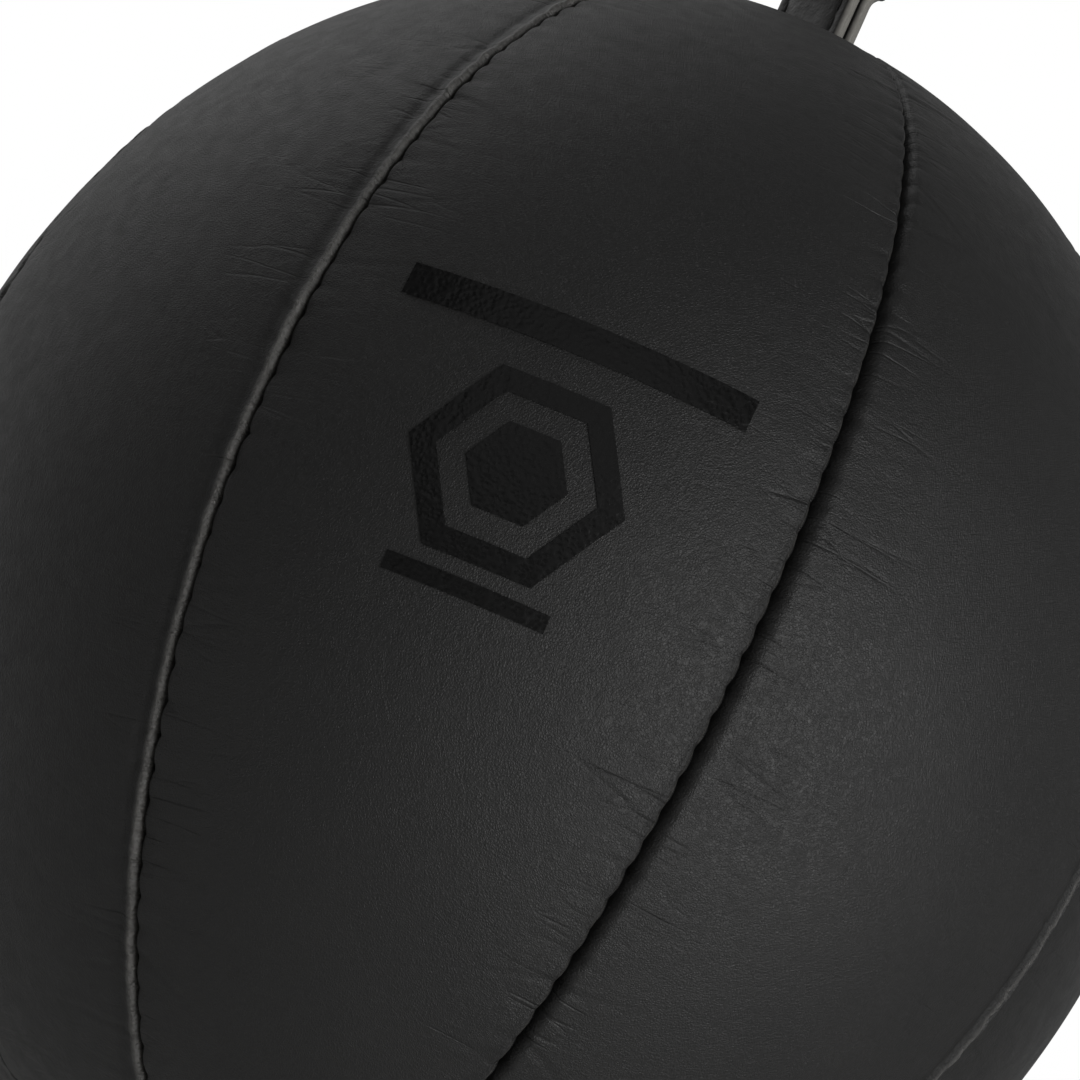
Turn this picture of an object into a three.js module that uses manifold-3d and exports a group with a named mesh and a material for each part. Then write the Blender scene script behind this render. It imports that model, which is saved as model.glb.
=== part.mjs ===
// A laced leather training ball that hangs and is tethered by a strap loop at each pole.
// Millimetres. Origin at the ball's centre, +Z along the axis to the upper loop, X along the loops' width.
// An azimuth of 0 looks out along -Y and grows towards +X; the printed front panel is at 45 degrees.
import * as THREE from 'three';
import { mergeVertices } from 'three/addons/utils/BufferGeometryUtils.js';
import Module from 'manifold-3d';

const wasm = await Module();
wasm.setup();
const { degToRad } = THREE.MathUtils;

// ---------- driving dimensions ----------
const equatorRadius = 100;
const poleRadius = 108.4;
const panelCount = 8;
const clearance = 0.3;
const leatherThickness = 1.6;
const liningThickness = 0.8;
const strapThickness = 2.25;
const strapWidth = 17.5;

// ---------- the wall, as depths below the outer surface ----------
const rollDepth = 1.3; // where a panel's edge has rolled down to its neighbour's
const rollWidth = 1.8;
const allowanceDepth = 5.0; // how far the turned-in seam allowance reaches
const poleAllowanceDepth = 2.0; // trimmed short under the loops' roots
const liningDepth = leatherThickness + clearance;
const rootDepth = 3.3;
const patchDepth = 6.4;
const patchThickness = 1.0;
const tongueDepth = 6.8;
const tongueThickness = 1.2;
const bladderDepth = 9.3;
const bladderThickness = 1.0;

// ---------- places ----------
const panelAngle = 360 / panelCount;
const halfPanel = degToRad(panelAngle / 2);
const frontAzimuth = 45; // the middle of panel_1
const tipRadius = 2.9; // distance from the axis at which a panel's tip ends
const poleZoneRadius = 12; // inside it there is only leather and strap
const sectionDegrees = [13, 26, 39, 52, 64, 73, 78, 84]; // the cross-sections, on both sides of the equator
const slitAzimuth = 202.5;
const slitCentreZ = 24;
const lacePitch = 12;
const laceBars = 5;
const laceReach = 8; // from the slit to a row of lace holes
const laceRadius = 1.0;
const laceHoleRadius = 1.9;
const laceInnerDepth = 5.3;

// ---------- materials ----------
const material = (color, roughness, metalness = 0) =>
  new THREE.MeshStandardMaterial({ color, roughness, metalness });
const leather = material(0x1b1b1c, 0.5);
const strapLeather = material(0x1d1d1d, 0.45);
const fabric = material(0x2c2c2e, 0.9);
const thread = material(0x141414, 0.6);
const laceCord = material(0x181818, 0.8);
const rubber = material(0x2a2a2b, 0.65);
const valveRubber = material(0x3a3a38, 0.6);

// ---------- the ball's surface ----------
// Distance from the axis and height of the point at this latitude parameter and depth.
function meridianPoint(latitude, depth) {
  const normal = new THREE.Vector2(Math.cos(latitude) / equatorRadius, Math.sin(latitude) / poleRadius);
  normal.normalize();
  return {
    radius: equatorRadius * Math.cos(latitude) - depth * normal.x,
    height: poleRadius * Math.sin(latitude) - depth * normal.y,
  };
}

// A point of a piece centred on +X: `side` is its angle round the axis, in radians.
function surfacePoint(latitude, side, depth) {
  const { radius, height } = meridianPoint(latitude, depth);
  return new THREE.Vector3(radius * Math.cos(side), radius * Math.sin(side), height);
}

// The same, with the offset from the centre line as a distance along the surface.
function besideMeridian(latitude, offset, depth) {
  return surfacePoint(latitude, offset / meridianPoint(latitude, 0).radius, depth);
}

const latitudeAtHeight = (z) => Math.asin(z / poleRadius);
const latitudeAtRadius = (radius) => Math.acos(radius / equatorRadius);
const heightAtRadius = (radius) => poleRadius * Math.sqrt(1 - (radius / equatorRadius) ** 2);

// The cross-sections of a piece that runs along a meridian from one latitude to another.
function sectionsBetween(from, to) {
  const closest = degToRad(1);
  const all = [...sectionDegrees.map((degrees) => -degrees).reverse(), 0, ...sectionDegrees].map(degToRad);
  return [from, ...all.filter((latitude) => latitude > from + closest && latitude < to - closest), to];
}

function evenSteps(from, to, steps) {
  return Array.from({ length: steps + 1 }, (_, i) => from + ((to - from) * i) / steps);
}

// ---------- builders ----------
// A closed sheet: each station has an outer and an inner row of points, equal in number.
function sheetGeometry(stations) {
  const columns = stations[0].outer.length;
  const positions = [];
  for (const { outer, inner } of stations) {
    for (const p of [...outer, ...inner]) positions.push(p.x, p.y, p.z);
  }
  const outerIndex = (row, column) => row * 2 * columns + column;
  const innerIndex = (row, column) => outerIndex(row, column) + columns;
  const index = [];
  const quad = (a, b, c, d) => index.push(a, b, c, a, c, d);
  const last = stations.length - 1;
  for (let row = 0; row < last; row++) {
    for (let i = 0; i < columns - 1; i++) {
      quad(outerIndex(row, i), outerIndex(row, i + 1), outerIndex(row + 1, i + 1), outerIndex(row + 1, i));
      quad(innerIndex(row, i), innerIndex(row + 1, i), innerIndex(row + 1, i + 1), innerIndex(row, i + 1));
    }
    const right = columns - 1;
    quad(outerIndex(row, 0), outerIndex(row + 1, 0), innerIndex(row + 1, 0), innerIndex(row, 0));
    const next = row + 1;
    quad(outerIndex(row, right), innerIndex(row, right), innerIndex(next, right), outerIndex(next, right));
  }
  for (let i = 0; i < columns - 1; i++) {
    quad(outerIndex(0, i), innerIndex(0, i), innerIndex(0, i + 1), outerIndex(0, i + 1));
    quad(outerIndex(last, i), outerIndex(last, i + 1), innerIndex(last, i + 1), innerIndex(last, i));
  }
  const geometry = new THREE.BufferGeometry();
  geometry.setAttribute('position', new THREE.Float32BufferAttribute(positions, 3));
  geometry.setIndex(index);
  return geometry;
}

function toSolid(geometry) {
  const bare = geometry.clone();
  bare.deleteAttribute('normal');
  bare.deleteAttribute('uv');
  const merged = mergeVertices(bare, 1e-4);
  return new wasm.Manifold(
    new wasm.Mesh({
      numProp: 3,
      vertProperties: new Float32Array(merged.attributes.position.array),
      triVerts: new Uint32Array(merged.index.array),
    }),
  );
}

function fromSolid(solid) {
  const { vertProperties, triVerts } = solid.getMesh();
  const geometry = new THREE.BufferGeometry();
  geometry.setAttribute('position', new THREE.BufferAttribute(vertProperties, 3));
  geometry.setIndex(new THREE.BufferAttribute(triVerts, 1));
  return geometry;
}

function cut(geometry, cutters) {
  return fromSolid(cutters.reduce((solid, cutter) => solid.subtract(toSolid(cutter)), toSolid(geometry)));
}

// A lathe ring or disc about Z from a closed profile of [radius, height] pairs.
function latheGeometry(profile, segments) {
  const points = profile.map(([r, z]) => new THREE.Vector2(r, z));
  return new THREE.LatheGeometry(points, segments).rotateX(Math.PI / 2);
}

const ball = new THREE.Group();

function addMesh(name, geometry, meshMaterial, parent = ball) {
  const mesh = new THREE.Mesh(geometry, meshMaterial);
  mesh.name = name;
  parent.add(mesh);
  return mesh;
}

// A piece built round +X turns to its azimuth.
const turnTo = (azimuth) => degToRad(azimuth - 90);

// ---------- leather panels and their linings ----------
// The angle from a panel's centre line at which the seam is `gap` away.
function angleBesideSeam(radius, gap) {
  const widest = 0.55 * radius * Math.sin(halfPanel);
  return halfPanel - Math.asin(Math.min(gap, widest) / radius);
}

function panelStation(latitude) {
  const { radius } = meridianPoint(latitude, 0);
  const nearPole = radius < poleZoneRadius * 2;
  const hem = nearPole ? poleAllowanceDepth : allowanceDepth;
  const at = (side, depth, gap, share = 1) =>
    surfacePoint(latitude, side * share * angleBesideSeam(radius, gap), depth);
  const seamGap = clearance / 2;
  const innerGap = seamGap + leatherThickness;
  const outerHalf = (side) => [
    at(side, hem, seamGap),
    at(side, rollDepth, seamGap),
    at(side, 0, rollWidth),
    at(side, 0, rollWidth, 1 / 3),
  ];
  const innerHalf = (side) => [
    at(side, hem, innerGap),
    at(side, leatherThickness, innerGap),
    at(side, leatherThickness, innerGap, 0.85),
    at(side, leatherThickness, innerGap, 1 / 3),
  ];
  return {
    outer: [...outerHalf(-1), ...outerHalf(1).reverse()],
    inner: [...innerHalf(-1), ...innerHalf(1).reverse()],
  };
}

function liningStation(latitude) {
  const edge = angleBesideSeam(meridianPoint(latitude, 0).radius, leatherThickness + 2 * clearance);
  const row = (depth) => [-1, -1 / 3, 1 / 3, 1].map((share) => surfacePoint(latitude, share * edge, depth));
  return { outer: row(liningDepth), inner: row(liningDepth + liningThickness) };
}

// The gap in the panels' tips that the strap passes through, in the frame of a panel at this azimuth.
function strapGap(azimuth) {
  const width = strapWidth + 4 * clearance;
  const thickness = 2 * strapThickness + 6 * clearance;
  return new THREE.BoxGeometry(width, thickness, 3 * poleRadius).rotateZ(-turnTo(azimuth));
}

// Lace holes along the slit, in the frame of a panel at this azimuth.
function laceHoles(azimuth) {
  const side = Math.sign(azimuth - slitAzimuth);
  const length = 2 * allowanceDepth;
  return barLatitudes().map((latitude) => {
    const centre = besideMeridian(latitude, side * laceReach, 0);
    const hole = new THREE.CylinderGeometry(laceHoleRadius, laceHoleRadius, length, 10);
    const outwards = new THREE.Vector3(centre.x, centre.y, centre.z * (equatorRadius / poleRadius) ** 2);
    const turn = new THREE.Quaternion().setFromUnitVectors(new THREE.Vector3(0, 1, 0), outwards.normalize());
    hole.applyQuaternion(turn).translate(centre.x, centre.y, centre.z);
    return hole.rotateZ(degToRad(slitAzimuth - azimuth));
  });
}

function barLatitudes() {
  const middle = (laceBars - 1) / 2;
  return Array.from({ length: laceBars }, (_, i) => latitudeAtHeight(slitCentreZ + (i - middle) * lacePitch));
}

function buildPanels() {
  const tip = latitudeAtRadius(tipRadius);
  const liningEnd = latitudeAtRadius(poleZoneRadius);
  const panel = sheetGeometry(sectionsBetween(-tip, tip).map(panelStation));
  const lining = sheetGeometry(sectionsBetween(-liningEnd, liningEnd).map(liningStation));
  for (let i = 0; i < panelCount; i++) {
    const azimuth = (frontAzimuth + panelAngle * i) % 360;
    const besideSlit = Math.abs(azimuth - slitAzimuth) <= panelAngle / 2;
    const holes = besideSlit ? laceHoles(azimuth) : [];
    const panelMesh = addMesh(`panel_${i + 1}`, cut(panel, [strapGap(azimuth), ...holes]), leather);
    const liningMesh = addMesh(`lining_${i + 1}`, besideSlit ? cut(lining, holes) : lining, fabric);
    panelMesh.rotation.z = turnTo(azimuth);
    liningMesh.rotation.z = turnTo(azimuth);
  }
}

// ---------- seam threads, lying in the valleys between the panels ----------
function threadGeometry(fromLatitude, toLatitude) {
  const halfWidth = 0.4;
  const [top, bottom] = [0.35, 0.75];
  return sheetGeometry(
    sectionsBetween(fromLatitude, toLatitude).map((latitude) => ({
      outer: [-halfWidth, halfWidth].map((offset) => besideMeridian(latitude, offset, top)),
      inner: [-halfWidth, halfWidth].map((offset) => besideMeridian(latitude, offset, bottom)),
    })),
  );
}

function buildThreads() {
  const end = latitudeAtRadius(poleZoneRadius);
  const slitHalfLength = (laceBars * lacePitch) / 2;
  for (let i = 0; i < panelCount; i++) {
    const azimuth = frontAzimuth + panelAngle * (i + 0.5);
    const name = `seam_thread_${i + 1}`;
    if (azimuth === slitAzimuth) {
      const below = threadGeometry(-end, latitudeAtHeight(slitCentreZ - slitHalfLength));
      const above = threadGeometry(latitudeAtHeight(slitCentreZ + slitHalfLength), end);
      addMesh(`${name}_lower`, below, thread).rotation.z = turnTo(azimuth);
      addMesh(`${name}_upper`, above, thread).rotation.z = turnTo(azimuth);
    } else {
      addMesh(name, threadGeometry(-end, end), thread).rotation.z = turnTo(azimuth);
    }
  }
}

// ---------- lace and tongue ----------
// The lace crosses the slit outside at every pair of holes, and runs on inside
// along one edge to the next pair.
function laceCurve() {
  const over = -(laceRadius + clearance);
  const latitudes = barLatitudes();
  const tail = (0.8 * lacePitch) / poleRadius; // each end is tucked in past the last hole
  const turnIn = (2 * laceRadius) / poleRadius;
  const bend = 1.8 * laceRadius;
  const points = [];
  const add = (latitude, offset, depth) => points.push(besideMeridian(latitude, offset, depth));
  add(latitudes[0] - tail, -laceReach, laceInnerDepth);
  latitudes.forEach((latitude, i) => {
    const side = i % 2 === 0 ? -1 : 1;
    add(latitude - turnIn, side * laceReach, laceInnerDepth);
    add(latitude, side * laceReach, laceInnerDepth - laceRadius);
    add(latitude, side * laceReach, 0);
    add(latitude, side * (laceReach - bend), over);
    add(latitude, 0, over);
    add(latitude, -side * (laceReach - bend), over);
    add(latitude, -side * laceReach, 0);
    add(latitude, -side * laceReach, laceInnerDepth - laceRadius);
    add(latitude + turnIn, -side * laceReach, laceInnerDepth);
  });
  const lastSide = laceBars % 2 === 0 ? -1 : 1;
  add(latitudes.at(-1) + tail, lastSide * laceReach, laceInnerDepth);
  return new THREE.CatmullRomCurve3(points, false, 'centripetal');
}

function buildLacing() {
  const corners = Array.from({ length: 6 }, (_, i) => (i * Math.PI) / 3);
  const section = new THREE.Shape(
    corners.map((a) => new THREE.Vector2(laceRadius * Math.cos(a), laceRadius * Math.sin(a))),
  );
  const steps = laceBars * 16;
  const lace = new THREE.ExtrudeGeometry(section, { steps, extrudePath: laceCurve(), bevelEnabled: false });
  addMesh('lace', lace, laceCord).rotation.z = turnTo(slitAzimuth);

  const halfLength = ((laceBars + 1) / 2) * lacePitch;
  const halfWidth = 2 * laceReach;
  const rows = evenSteps(
    latitudeAtHeight(slitCentreZ - halfLength),
    latitudeAtHeight(slitCentreZ + halfLength),
    6,
  );
  const across = evenSteps(-halfWidth, halfWidth, 3);
  const tongue = sheetGeometry(
    rows.map((latitude) => ({
      outer: across.map((offset) => besideMeridian(latitude, offset, tongueDepth)),
      inner: across.map((offset) => besideMeridian(latitude, offset, tongueDepth + tongueThickness)),
    })),
  );
  addMesh('tongue', tongue, leather).rotation.z = turnTo(slitAzimuth);
}

// ---------- bladder and valve ----------
const valveStemRadius = 4;
const valveWall = 1.4;
const valveFlangeRadius = 8;
const valveFlangeThickness = 1.2;
const valveLength = 16;

function spheroid(depth) {
  const rows = evenSteps(-Math.PI / 2, Math.PI / 2, 14);
  const profile = rows.map((latitude) => {
    const { radius, height } = meridianPoint(latitude, depth);
    return [Math.max(radius, 0), height];
  });
  profile[0][0] = 0;
  profile.at(-1)[0] = 0;
  return latheGeometry(profile, 24);
}

// A round piece made along +Y from the ball's centre turns to the valve's axis.
function alongValve(geometry) {
  return geometry.rotateZ(-Math.PI / 2).rotateY(-latitudeAtHeight(slitCentreZ));
}

function buildBladder() {
  const hollow = toSolid(spheroid(bladderDepth)).subtract(toSolid(spheroid(bladderDepth + bladderThickness)));
  const holeRadius = valveStemRadius + clearance;
  const hole = new THREE.CylinderGeometry(holeRadius, holeRadius, 3 * valveLength, 16);
  const bladder = hollow.subtract(toSolid(alongValve(hole.translate(0, equatorRadius, 0))));
  addMesh('bladder', fromSolid(bladder), rubber).rotation.z = turnTo(slitAzimuth);
  buildValve();
}

// The housing's flange lies behind the bladder's wall; the core, which the needle passes, fills its bore.
function buildValve() {
  const mouth = equatorRadius - bladderDepth - clearance;
  const flangeTop = mouth - bladderThickness - 5 * clearance;
  const flangeBottom = flangeTop - valveFlangeThickness;
  const bottom = mouth - valveLength;
  const bore = valveStemRadius - valveWall;
  const housing = [
    [bore, bottom],
    [valveStemRadius, bottom],
    [valveStemRadius, flangeBottom],
    [valveFlangeRadius, flangeBottom],
    [valveFlangeRadius, flangeTop],
    [valveStemRadius, flangeTop],
    [valveStemRadius, mouth],
    [bore, mouth],
    [bore, bottom],
  ];
  const valve = new THREE.LatheGeometry(housing.map(([r, y]) => new THREE.Vector2(r, y)), 16);
  addMesh('valve_housing', alongValve(valve), valveRubber).rotation.z = turnTo(slitAzimuth);
  const coreRadius = bore - clearance;
  const core = new THREE.CylinderGeometry(coreRadius, coreRadius, valveLength - 1, 12);
  core.translate(0, (mouth + bottom) / 2, 0);
  addMesh('valve_core', alongValve(core), rubber).rotation.z = turnTo(slitAzimuth);
}

// ---------- the loops ----------
// The hinge line, where a loop folds over, lies just above the pole.
const hingeHeight = poleRadius + strapThickness + 1.5 * clearance;
const legGap = clearance / 2; // from the middle plane to a leg's inner face
const eyeHalfWidth = 7.5;
const legHeight = 10; // where the two legs part
const eyeShoulder = 22; // where the eye has its full width
const crownHeight = 34; // the inner face of the flat crown
const crownHalfWidth = 4;
const crownCorner = 5.5;
const strapChamfer = 0.3; // of the strap's bevelled edges

// Half of the strap's curve, along the middle of its thickness, from a leg's foot to
// the middle of the crown, as [y, z] from the hinge line.
function strapCurve() {
  const half = strapThickness / 2;
  const leg = legGap + half;
  const side = eyeHalfWidth + half;
  const crown = crownHeight + half;
  const path = new THREE.Path();
  path.moveTo(leg, 0);
  path.lineTo(leg, legHeight);
  path.bezierCurveTo(leg, legHeight + 5, side, legHeight + 5, side, eyeShoulder);
  path.lineTo(side, crown - crownCorner);
  path.quadraticCurveTo(side, crown, crownHalfWidth, crown);
  path.lineTo(0, crown);
  return path;
}

function strapGeometry() {
  const right = strapCurve().getPoints(7);
  const left = right.slice(0, -1).map((p) => new THREE.Vector2(-p.x, p.y)).reverse();
  const middle = [...right, ...left];
  const normals = middle.slice(1).map((p, i) => {
    const run = p.clone().sub(middle[i]).normalize();
    return new THREE.Vector2(run.y, -run.x);
  });
  const half = strapThickness / 2;
  const edge = strapWidth / 2;
  const flat = edge - strapChamfer;
  const side = half - strapChamfer;
  const stations = middle.map((p, i) => {
    const before = normals[Math.max(i - 1, 0)];
    const after = normals[Math.min(i, normals.length - 1)];
    const mitre = before.clone().add(after).divideScalar(1 + before.dot(after));
    const at = (x, height) => new THREE.Vector3(x, p.x + mitre.x * height, p.y + mitre.y * height);
    return {
      outer: [at(edge, side), at(flat, half), at(-flat, half), at(-edge, side)],
      inner: [at(edge, -side), at(flat, -half), at(-flat, -half), at(-edge, -side)],
    };
  });
  return sheetGeometry(stations);
}

// The strap's two ends below the hinge: they go in at the pole and spread under the lining.
function rootGeometry() {
  const reach = 16; // how far each tab goes from the middle plane
  const halfStem = legGap + strapThickness;
  const edge = strapWidth / 2;
  const tabTop = (y) => heightAtRadius(Math.hypot(y, edge)) - rootDepth;
  const tabRow = evenSteps(halfStem, reach, 3);
  const mirror = (points) => points.map(([y, z]) => [-y, z]).reverse();
  const top = [[halfStem, poleRadius - clearance], ...tabRow.map((y) => [y, tabTop(y)])];
  const bottom = [...tabRow].reverse().map((y) => [y, tabTop(y) - strapThickness]);
  const outline = [...mirror(top), ...top, ...bottom, ...mirror(bottom)];
  const shape = new THREE.Shape(outline.map(([y, z]) => new THREE.Vector2(y, z)));
  const solid = new THREE.ExtrudeGeometry(shape, { depth: strapWidth, bevelEnabled: false });
  solid.translate(0, 0, -edge);
  // The extrusion's x, y and z become the ball's Y, Z and X.
  const toBall = new THREE.Matrix4().makeBasis(
    new THREE.Vector3(0, 1, 0),
    new THREE.Vector3(0, 0, 1),
    new THREE.Vector3(1, 0, 0),
  );
  return solid.applyMatrix4(toBall);
}

function patchGeometry() {
  const reach = 24;
  const radii = evenSteps(0, reach, 4);
  const row = (depth) => radii.map((radius) => [radius, heightAtRadius(radius) - depth]);
  const profile = [...row(patchDepth + patchThickness), ...row(patchDepth).reverse()];
  return latheGeometry(profile, 20);
}

function buildLoopEnd(name, end) {
  const loop = addMesh(`${name}_loop`, strapGeometry(), strapLeather, end);
  loop.position.z = hingeHeight;
  addMesh(`${name}_loop_root`, rootGeometry(), strapLeather, end);
  addMesh(`${name}_bladder_patch`, patchGeometry(), leather, end);
  ball.add(end);
}

buildPanels();
buildThreads();
buildLacing();
buildBladder();
buildLoopEnd('top', new THREE.Group());
const lowerEnd = new THREE.Group();
lowerEnd.rotation.x = Math.PI;
buildLoopEnd('bottom', lowerEnd);

export default ball;
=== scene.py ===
"""Looks for a laced leather training ball with a strap loop at each pole. Metres, in the CAD part's frame.

The ball's wall is worked out in millimetres along and across each panel, then placed on the ball.
An azimuth of 0 looks out along -Y and grows towards +X, as in the CAD part.
"""
import math

import bpy
import numpy as np
from mathutils import Matrix, Vector


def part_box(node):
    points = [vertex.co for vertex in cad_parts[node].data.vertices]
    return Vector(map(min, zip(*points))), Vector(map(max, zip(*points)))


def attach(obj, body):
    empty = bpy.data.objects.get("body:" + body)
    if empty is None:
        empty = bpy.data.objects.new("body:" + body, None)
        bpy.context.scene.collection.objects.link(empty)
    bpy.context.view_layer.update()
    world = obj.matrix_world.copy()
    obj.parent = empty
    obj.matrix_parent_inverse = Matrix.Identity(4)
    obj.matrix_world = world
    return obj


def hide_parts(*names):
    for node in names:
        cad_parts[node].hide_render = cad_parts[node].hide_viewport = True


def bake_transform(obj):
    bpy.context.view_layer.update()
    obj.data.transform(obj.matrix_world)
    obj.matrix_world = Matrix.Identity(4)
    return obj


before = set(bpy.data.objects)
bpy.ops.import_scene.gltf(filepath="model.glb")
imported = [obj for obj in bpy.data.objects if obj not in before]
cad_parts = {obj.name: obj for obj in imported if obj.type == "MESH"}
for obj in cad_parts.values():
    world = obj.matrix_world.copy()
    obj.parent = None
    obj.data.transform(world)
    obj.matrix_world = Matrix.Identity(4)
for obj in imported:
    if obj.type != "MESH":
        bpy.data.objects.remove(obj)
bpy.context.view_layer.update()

MM = 0.001

# ---------- sizes, in millimetres, read from the CAD part ----------
PANEL_VERTICES = np.array([v.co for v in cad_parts["panel_1"].data.vertices]) / MM
EQUATOR = float(np.hypot(PANEL_VERTICES[:, 0], PANEL_VERTICES[:, 1]).max())
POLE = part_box("panel_1")[1].z / MM
LOOP_LOW, LOOP_HIGH = (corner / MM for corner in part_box("top_loop"))
HINGE = LOOP_LOW.z
STRAP_WIDTH = LOOP_HIGH.x - LOOP_LOW.x
LOOP_HEIGHT = LOOP_HIGH.z - HINGE
LOOP_HALF_THICKNESS = LOOP_HIGH.y
PANELS = 8
PANEL_ANGLE = 2 * math.pi / PANELS
FRONT = math.radians(45)  # the middle of the printed panel
SLIT_AZIMUTH = math.radians(202.5)

# ---------- sizes of the fine work, in millimetres ----------
STITCH = 4.8
LEATHER = 1.6
LINING_DEPTH = 1.9
ALLOWANCE_DEPTH = 4.9  # of the leather's turned-in edge in a seam
BEAD_EDGE = (0.9, 1.3)  # width and depth of the roll along the right edge of every panel
TIGHT_EDGE = (0.7, 1.0)  # the same for the left edge of every other panel
WIDE_EDGE = (2.6, 3.8)  # and of the panels between, which lie lower than their neighbours
STRAP_THICKNESS = 2.25
SLIT_CENTRE_Z = 24
LACE_PITCH = 12
LACE_BARS = 5
LACE_REACH = 8
TIP_RADIUS = 2.6
STRAP_SLOT = (STRAP_WIDTH / 2 + 0.5, STRAP_THICKNESS + 0.6)  # half sizes of the way in at a pole
POLE_ZONE = 24  # how far from the axis the panels are drawn aside for the strap
SLOT_POWER = 5  # the higher, the squarer the slot's corners
LEG_HEIGHT = 10  # of the strap's straight legs over the hinge
EYE_SHOULDER = 22  # over the hinge, where the strap has opened into its eye
CROWN_HALF = 4
CROWN_CORNER = 5.5
GROOVE_INSET = 2.4  # of the stitched groove from the strap's edge
STRAP_STITCH = 3.4
PANEL_ROWS = 590
GRAIN_SHIFT = 97  # gives each panel its own stretch of grain
FAR_FROM_SEAM = 20


# ---------- the ball's surface ----------
class Meridian:
    """Distance along the meridian from the equator, turned into a place on the ball's outline."""

    def __init__(self):
        latitude = np.linspace(-math.pi / 2, math.pi / 2, 4001)
        radius, height = EQUATOR * np.cos(latitude), POLE * np.sin(latitude)
        step = np.hypot(np.diff(radius), np.diff(height))
        along = np.concatenate([[0], np.cumsum(step)])
        self.along = along - along[-1] / 2
        self.latitude = latitude

    def at(self, along):
        """Radius, height and outward normal (radial, up) at a distance from the equator."""
        latitude = np.interp(along, self.along, self.latitude)
        cos, sin = np.cos(latitude), np.sin(latitude)
        normal = np.stack([cos / EQUATOR, sin / POLE], -1)
        normal /= np.linalg.norm(normal, axis=-1, keepdims=True)
        return EQUATOR * cos, POLE * sin, normal

    def where_radius(self, radius):
        return float(np.interp(math.acos(radius / EQUATOR), self.latitude, self.along))

    def where_height(self, height):
        return float(np.interp(math.asin(height / POLE), self.latitude, self.along))


MERIDIAN = Meridian()


def slot_radius(angle):
    """How far the edge of the strap's slot is from the axis, at an azimuth: a rounded oblong."""
    x, y = np.abs(np.sin(angle)) / STRAP_SLOT[0], np.abs(np.cos(angle)) / STRAP_SLOT[1]
    return (x ** SLOT_POWER + y ** SLOT_POWER) ** (-1 / SLOT_POWER)


def on_ball(along, angle, height):
    """Points in metres: along the meridian, at an azimuth, raised above the surface (all arrays)."""
    radius, z, normal = MERIDIAN.at(along)
    aside = slot_radius(angle) - TIP_RADIUS
    near = np.clip(1 - (radius - TIP_RADIUS) / (POLE_ZONE - TIP_RADIUS), 0, 1)
    r = radius + aside * near ** 1.5 + height * normal[..., 0]
    z = z + height * normal[..., 1]
    return np.stack([r * np.sin(angle), -r * np.cos(angle), z], -1) * MM


# ---------- smooth random fields ----------
def smooth_noise(u, v, seed):
    """Noise from -1 to 1 that changes over a distance of 1 in u and in v."""
    size = 256
    lattice = np.random.default_rng(seed).uniform(-1, 1, (size, size))
    iu, iv = np.floor(u).astype(int), np.floor(v).astype(int)
    fu, fv = u - iu, v - iv
    fu, fv = fu * fu * (3 - 2 * fu), fv * fv * (3 - 2 * fv)
    a, b = lattice[iu % size, iv % size], lattice[(iu + 1) % size, iv % size]
    c, d = lattice[iu % size, (iv + 1) % size], lattice[(iu + 1) % size, (iv + 1) % size]
    return (a * (1 - fu) + b * fu) * (1 - fv) + (c * (1 - fu) + d * fu) * fv


# ---------- the leather's relief ----------
def stitch_puff(along, seam):
    """0 where a stitch pulls the seam in, 1 halfway between two, and how tight each stitch is."""
    jitter = 0.5 * smooth_noise(along / 11, np.full_like(along, seam * 7.3), 11)
    phase = (along + jitter) / STITCH + seam * 0.37
    tightness = 0.75 + 0.45 * smooth_noise(phase / 1.7, np.full_like(along, seam * 3.1), 12)
    return np.abs(np.sin(math.pi * phase)) ** 0.7, tightness


def stitch_relief(along, edge, seam):
    """The pull of the seam's stitches: a dimple at each, and the leather puffed up between them."""
    puff, tightness = stitch_puff(along, seam)
    return (puff - 0.6) * tightness * 0.50 * np.exp(-((edge / 2.4) ** 1.3))


def gathered_relief(along, edge, seam):
    """Broader puckers that the gathered seam sends into the panel, square to it."""
    broad = smooth_noise(along / 8.5, edge / 26 + seam * 5.7, 21)
    narrow = smooth_noise(along / 3.4 + 40, edge / 15 + seam * 9.1, 22)
    near = np.exp(-((edge / 11) ** 1.2))
    nearer = np.exp(-edge / 6.5)
    return 0.20 * broad * near + 0.085 * narrow * nearer


class Creases:
    """Sharp little folds that start at the seam and run out into the panel."""

    def __init__(self, seed, half_length):
        count = 42
        rng = np.random.default_rng(seed)
        self.start = rng.uniform(-half_length, half_length, count)
        self.length = rng.gamma(2.4, 3.6, count) + 3
        self.slope = rng.normal(0, 0.22, count)
        self.bend = rng.normal(0, 0.012, count)
        self.depth = rng.uniform(0.05, 0.17, count)
        self.width = rng.uniform(0.32, 0.6, count)

    def relief(self, along, edge):
        total = np.zeros_like(along)
        rows = along[:, 0]
        for start, length, slope, bend, depth, width in zip(
            self.start, self.length, self.slope, self.bend, self.depth, self.width
        ):
            near = np.abs(rows - start) < 14
            distance = edge[near]
            off = along[near] - (start + slope * distance + bend * distance * distance)
            fade = np.clip(1 - distance / length, 0, 1) * np.clip(distance / 0.8, 0, 1)
            groove = -np.exp(-((off / width) ** 2))
            lips = 0.35 * np.exp(-(((np.abs(off) - 2 * width) / width) ** 2))
            total[near] += depth * fade * (groove + lips)
        return total


def seam_profile(edge):
    """The shallow valley on each side of a seam, without the edge's roll."""
    return -0.22 * np.exp(-edge / 3.2) - 0.30 * np.exp(-edge / 11)


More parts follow.
